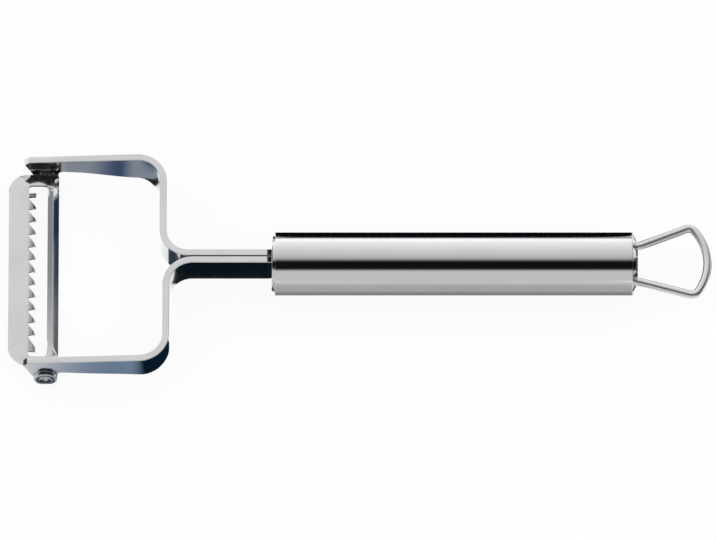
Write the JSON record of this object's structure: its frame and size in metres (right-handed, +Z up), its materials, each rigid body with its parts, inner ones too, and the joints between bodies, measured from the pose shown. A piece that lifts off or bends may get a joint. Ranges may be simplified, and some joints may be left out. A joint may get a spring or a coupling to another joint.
{
  "type": "julienne peeler",
  "caption": "Y-shaped julienne peeler: a toothed blade swivels between two bent steel strip arms on a polished tubular handle with a wire hanging loop.",
  "frame": {"origin": "on the surface that the tool lies on, under the middle of its box", "axes": "+X along the handle from the blade towards the hanging loop, +Y across the head, +Z up from the surface"},
  "size_m": [0.2009, 0.0674, 0.0183],
  "materials": {
    "polished_handle": "mirror-polished stainless steel",
    "strip_steel": "polished stainless strip, softly satined edges",
    "wire_steel": "polished stainless wire",
    "blade_steel": "fine-ground hardened steel sheet",
    "pivot_steel": "turned and riveted steel"
  },
  "bodies": {
    "handle": {"handle_tube": "polished_handle", "front_cap": "polished_handle", "rear_cap": "polished_handle", "far_arm": "strip_steel", "near_arm": "strip_steel", "hanging_loop": "wire_steel", "far_collar": "pivot_steel", "near_collar": "pivot_steel", "far_pivot_pin": "pivot_steel", "near_pivot_pin": "pivot_steel", "far_spacer": "pivot_steel", "near_spacer": "pivot_steel"},
    "blade": {"julienne_blade": "blade_steel"}
  },
  "joints": [
    {"name": "blade_swivel", "type": "hinge", "parent": "handle", "child": "blade", "pos_m": [-0.0898, 0, 0.0035], "axis": [0, 1, 0], "range_deg": [-25, 25]}
  ]
}
